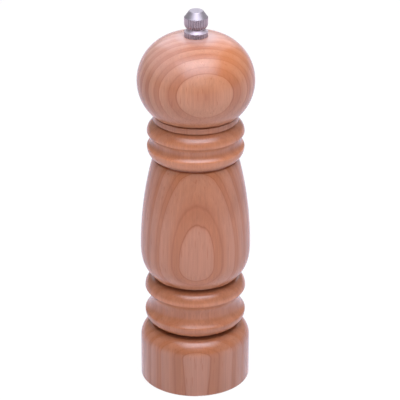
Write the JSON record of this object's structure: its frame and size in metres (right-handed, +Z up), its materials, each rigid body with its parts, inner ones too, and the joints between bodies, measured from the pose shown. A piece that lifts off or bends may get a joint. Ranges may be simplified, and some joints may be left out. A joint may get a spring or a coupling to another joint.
{
  "type": "pepper mill",
  "caption": "Turned wooden pepper mill with a ball head, beaded bands and a knurled metal nut on top that sets the grind of a ceramic burr in the foot.",
  "frame": {"origin": "middle of the foot's underside, on the surface that the mill stands on", "axes": "+Z up along the mill's turning axis"},
  "size_m": [0.0596, 0.0596, 0.2033],
  "materials": {
    "body_wood": "satin lacquer over flat-sawn reddish beech",
    "head_wood": "satin lacquer over flat-sawn reddish beech, a separate blank",
    "brass": "turned",
    "nut_metal": "satin plated, knurled",
    "shaft_metal": "drawn square rod",
    "steel": "stamped and tumbled",
    "screw_steel": "zinc plated",
    "spring_steel": "drawn wire, bright",
    "housing_plastic": "moulded, fine matt",
    "bush_plastic": "natural nylon",
    "ceramic": "fired white ceramic, unglazed satin"
  },
  "bodies": {
    "body": {"body": "body_wood", "grinder_housing": "housing_plastic", "housing_screws": "screw_steel", "shaft_bridge": "housing_plastic", "guide_bush": "bush_plastic", "grinding_ring": "ceramic", "snap_ring": "spring_steel"},
    "turning_set": {"upper_spring_washer": "steel", "spring": "spring_steel"},
    "spindle": {"drive_shaft": "shaft_metal", "grinding_cone": "ceramic", "cone_hub": "housing_plastic", "hub_washer": "steel", "shaft_clip": "spring_steel", "lower_spring_washer": "steel"},
    "head": {"head": "head_wood", "head_bush": "brass", "drive_plate": "steel", "drive_plate_screws": "screw_steel"},
    "nut": {"adjusting_nut": "nut_metal"}
  },
  "joints": [
    {"name": "head_turn", "type": "hinge", "parent": "body", "child": "turning_set", "pos_m": [0, 0, 0], "axis": [0, 0, 1], "continuous": true},
    {"name": "grind_adjust", "type": "slide", "parent": "turning_set", "child": "spindle", "axis": [0, 0, 1], "range_m": [-0.002, 0], "deforming": ["spring"]},
    {"name": "head_lift", "type": "slide", "parent": "turning_set", "child": "head", "axis": [0, 0, 1], "range_m": [0, 0.068]},
    {"name": "nut_turn", "type": "hinge", "parent": "head", "child": "nut", "pos_m": [0, 0, 0], "axis": [0, 0, 1], "range_deg": [0, 900]}
  ],
  "couplings": [
    {"joint": "nut_turn", "follows": "grind_adjust", "rad_per_m": -7854}
  ]
}
